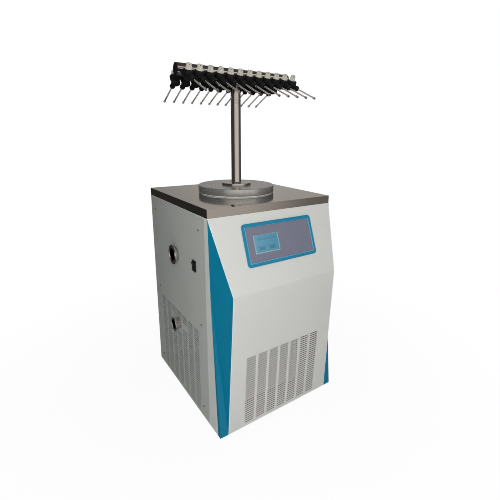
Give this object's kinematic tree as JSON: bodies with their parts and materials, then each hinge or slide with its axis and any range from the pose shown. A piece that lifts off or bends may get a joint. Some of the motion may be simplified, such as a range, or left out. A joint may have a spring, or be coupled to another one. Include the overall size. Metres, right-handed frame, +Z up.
{
  "type": "freeze dryer",
  "caption": "Floor-standing lab freeze dryer: grey cabinet with white sloping front, round cold-trap lid, and a raised steel manifold with rubber valves, turning keys and glass ampoules.",
  "frame": {"origin": "on the floor under the middle of the cabinet", "axes": "+Z up, the front with the control panel faces -Y, +X to the right seen from the front"},
  "size_m": [0.5438, 0.62, 1.281],
  "materials": {
    "frame_paint": "satin black paint",
    "panel_grey": "fine textured powder coat",
    "cover_white": "fine textured powder coat",
    "cheek_blue": "satin powder coat",
    "deck_steel": "polished, lightly brushed",
    "black_rubber": "matt",
    "trap_steel": "satin",
    "copper": "bright copper tube",
    "foam": "rigid foam",
    "gasket_silicone": "translucent white silicone",
    "lid_steel": "turned and polished",
    "tube_steel": "polished stainless tube",
    "clear_glass": "clear",
    "bezel_blue": "satin",
    "face_grey": "printed film",
    "screen_glass": "lit display",
    "board_green": "lacquered board",
    "black_plastic": "moulded",
    "key_plastic": "moulded, off-white",
    "port_chrome": "polished",
    "compressor_paint": "gloss black",
    "condenser_aluminium": "mill finish",
    "screw_steel": "nickel plated"
  },
  "bodies": {
    "cabinet": {"chassis": "frame_paint", "front_frame": "panel_grey", "left_panel": "panel_grey", "right_panel": "panel_grey", "rear_panel": "panel_grey", "front_cover": "cover_white", "left_cheek": "cheek_blue", "right_cheek": "cheek_blue", "deck": "deck_steel", "deck_plug": "black_rubber", "bar_end_plugs": "black_rubber", "valve_bodies": "black_rubber", "feet": "black_rubber", "cold_trap": "trap_steel", "evaporator_coil": "copper", "refrigerant_pipes": "copper", "trap_insulation": "foam", "lid_gasket": "gasket_silicone", "lid": "lid_steel", "post": "tube_steel", "manifold_bar": "tube_steel", "ampoules": "clear_glass", "display_bezel": "bezel_blue", "display_face": "face_grey", "touch_screen": "screen_glass", "control_board": "board_green", "switch_housing": "black_plastic", "power_inlet": "black_plastic", "vacuum_port": "port_chrome", "drain_port": "port_chrome", "compressor": "compressor_paint", "condenser": "condenser_aluminium", "fan_bracket": "condenser_aluminium", "panel_screws": "screw_steel"},
    "fan_wheel": {"fan_blades": "black_plastic"},
    "power_rocker": {"switch_rocker": "black_plastic"},
    "front_key_01": {"front_key_01": "key_plastic"},
    "front_key_02": {"front_key_02": "key_plastic"},
    "front_key_03": {"front_key_03": "key_plastic"},
    "front_key_04": {"front_key_04": "key_plastic"},
    "front_key_05": {"front_key_05": "key_plastic"},
    "front_key_06": {"front_key_06": "key_plastic"},
    "front_key_07": {"front_key_07": "key_plastic"},
    "front_key_08": {"front_key_08": "key_plastic"},
    "front_key_09": {"front_key_09": "key_plastic"},
    "front_key_10": {"front_key_10": "key_plastic"},
    "front_key_11": {"front_key_11": "key_plastic"},
    "front_key_12": {"front_key_12": "key_plastic"},
    "rear_key_01": {"rear_key_01": "key_plastic"},
    "rear_key_02": {"rear_key_02": "key_plastic"},
    "rear_key_03": {"rear_key_03": "key_plastic"},
    "rear_key_04": {"rear_key_04": "key_plastic"},
    "rear_key_05": {"rear_key_05": "key_plastic"},
    "rear_key_06": {"rear_key_06": "key_plastic"},
    "rear_key_07": {"rear_key_07": "key_plastic"},
    "rear_key_08": {"rear_key_08": "key_plastic"},
    "rear_key_09": {"rear_key_09": "key_plastic"},
    "rear_key_10": {"rear_key_10": "key_plastic"},
    "rear_key_11": {"rear_key_11": "key_plastic"},
    "rear_key_12": {"rear_key_12": "key_plastic"}
  },
  "joints": [
    {"name": "fan_spin", "type": "hinge", "parent": "cabinet", "child": "fan_wheel", "pos_m": [0, -0.1735, 0.167], "axis": [0, 1, 0], "continuous": true},
    {"name": "rocker_tilt", "type": "hinge", "parent": "cabinet", "child": "power_rocker", "pos_m": [-0.258, -0.156, 0.603], "axis": [0, 1, 0], "range_deg": [0, 16]},
    {"name": "front_key_01_turn", "type": "hinge", "parent": "cabinet", "child": "front_key_01", "pos_m": [-0.21271, -0.05433, 1.2332], "axis": [-0.0219, -0.3577, 0.9336], "range_deg": [0, 180]},
    {"name": "front_key_02_turn", "type": "hinge", "parent": "cabinet", "child": "front_key_02", "pos_m": [-0.17478, -0.05665, 1.2332], "axis": [-0.0219, -0.3577, 0.9336], "range_deg": [0, 180]},
    {"name": "front_key_03_turn", "type": "hinge", "parent": "cabinet", "child": "front_key_03", "pos_m": [-0.13686, -0.05897, 1.2332], "axis": [-0.0219, -0.3577, 0.9336], "range_deg": [0, 180]},
    {"name": "front_key_04_turn", "type": "hinge", "parent": "cabinet", "child": "front_key_04", "pos_m": [-0.09893, -0.06129, 1.2332], "axis": [-0.0219, -0.3577, 0.9336], "range_deg": [0, 180]},
    {"name": "front_key_05_turn", "type": "hinge", "parent": "cabinet", "child": "front_key_05", "pos_m": [-0.061, -0.06361, 1.2332], "axis": [-0.0219, -0.3577, 0.9336], "range_deg": [0, 180]},
    {"name": "front_key_06_turn", "type": "hinge", "parent": "cabinet", "child": "front_key_06", "pos_m": [-0.02307, -0.06593, 1.2332], "axis": [-0.0219, -0.3577, 0.9336], "range_deg": [0, 180]},
    {"name": "front_key_07_turn", "type": "hinge", "parent": "cabinet", "child": "front_key_07", "pos_m": [0.01486, -0.06825, 1.2332], "axis": [-0.0219, -0.3577, 0.9336], "range_deg": [0, 180]},
    {"name": "front_key_08_turn", "type": "hinge", "parent": "cabinet", "child": "front_key_08", "pos_m": [0.05279, -0.07057, 1.2332], "axis": [-0.0219, -0.3577, 0.9336], "range_deg": [0, 180]},
    {"name": "front_key_09_turn", "type": "hinge", "parent": "cabinet", "child": "front_key_09", "pos_m": [0.09072, -0.07289, 1.2332], "axis": [-0.0219, -0.3577, 0.9336], "range_deg": [0, 180]},
    {"name": "front_key_10_turn", "type": "hinge", "parent": "cabinet", "child": "front_key_10", "pos_m": [0.12865, -0.07521, 1.2332], "axis": [-0.0219, -0.3577, 0.9336], "range_deg": [0, 180]},
    {"name": "front_key_11_turn", "type": "hinge", "parent": "cabinet", "child": "front_key_11", "pos_m": [0.16658, -0.07753, 1.2332], "axis": [-0.0219, -0.3577, 0.9336], "range_deg": [0, 180]},
    {"name": "front_key_12_turn", "type": "hinge", "parent": "cabinet", "child": "front_key_12", "pos_m": [0.20451, -0.07985, 1.2332], "axis": [-0.0219, -0.3577, 0.9336], "range_deg": [0, 180]},
    {"name": "rear_key_01_turn", "type": "hinge", "parent": "cabinet", "child": "rear_key_01", "pos_m": [-0.20459, 0.07841, 1.22971], "axis": [0.0248, 0.406, 0.9135], "range_deg": [0, 180]},
    {"name": "rear_key_02_turn", "type": "hinge", "parent": "cabinet", "child": "rear_key_02", "pos_m": [-0.16667, 0.07609, 1.22971], "axis": [0.0248, 0.406, 0.9135], "range_deg": [0, 180]},
    {"name": "rear_key_03_turn", "type": "hinge", "parent": "cabinet", "child": "rear_key_03", "pos_m": [-0.12874, 0.07377, 1.22971], "axis": [0.0248, 0.406, 0.9135], "range_deg": [0, 180]},
    {"name": "rear_key_04_turn", "type": "hinge", "parent": "cabinet", "child": "rear_key_04", "pos_m": [-0.09081, 0.07145, 1.22971], "axis": [0.0248, 0.406, 0.9135], "range_deg": [0, 180]},
    {"name": "rear_key_05_turn", "type": "hinge", "parent": "cabinet", "child": "rear_key_05", "pos_m": [-0.05288, 0.06913, 1.22971], "axis": [0.0248, 0.406, 0.9135], "range_deg": [0, 180]},
    {"name": "rear_key_06_turn", "type": "hinge", "parent": "cabinet", "child": "rear_key_06", "pos_m": [-0.01495, 0.06681, 1.22971], "axis": [0.0248, 0.406, 0.9135], "range_deg": [0, 180]},
    {"name": "rear_key_07_turn", "type": "hinge", "parent": "cabinet", "child": "rear_key_07", "pos_m": [0.02298, 0.06449, 1.22971], "axis": [0.0248, 0.406, 0.9135], "range_deg": [0, 180]},
    {"name": "rear_key_08_turn", "type": "hinge", "parent": "cabinet", "child": "rear_key_08", "pos_m": [0.06091, 0.06217, 1.22971], "axis": [0.0248, 0.406, 0.9135], "range_deg": [0, 180]},
    {"name": "rear_key_09_turn", "type": "hinge", "parent": "cabinet", "child": "rear_key_09", "pos_m": [0.09884, 0.05985, 1.22971], "axis": [0.0248, 0.406, 0.9135], "range_deg": [0, 180]},
    {"name": "rear_key_10_turn", "type": "hinge", "parent": "cabinet", "child": "rear_key_10", "pos_m": [0.13677, 0.05753, 1.22971], "axis": [0.0248, 0.406, 0.9135], "range_deg": [0, 180]},
    {"name": "rear_key_11_turn", "type": "hinge", "parent": "cabinet", "child": "rear_key_11", "pos_m": [0.1747, 0.05521, 1.22971], "axis": [0.0248, 0.406, 0.9135], "range_deg": [0, 180]},
    {"name": "rear_key_12_turn", "type": "hinge", "parent": "cabinet", "child": "rear_key_12", "pos_m": [0.21263, 0.05289, 1.22971], "axis": [0.0248, 0.406, 0.9135], "range_deg": [0, 180]}
  ]
}
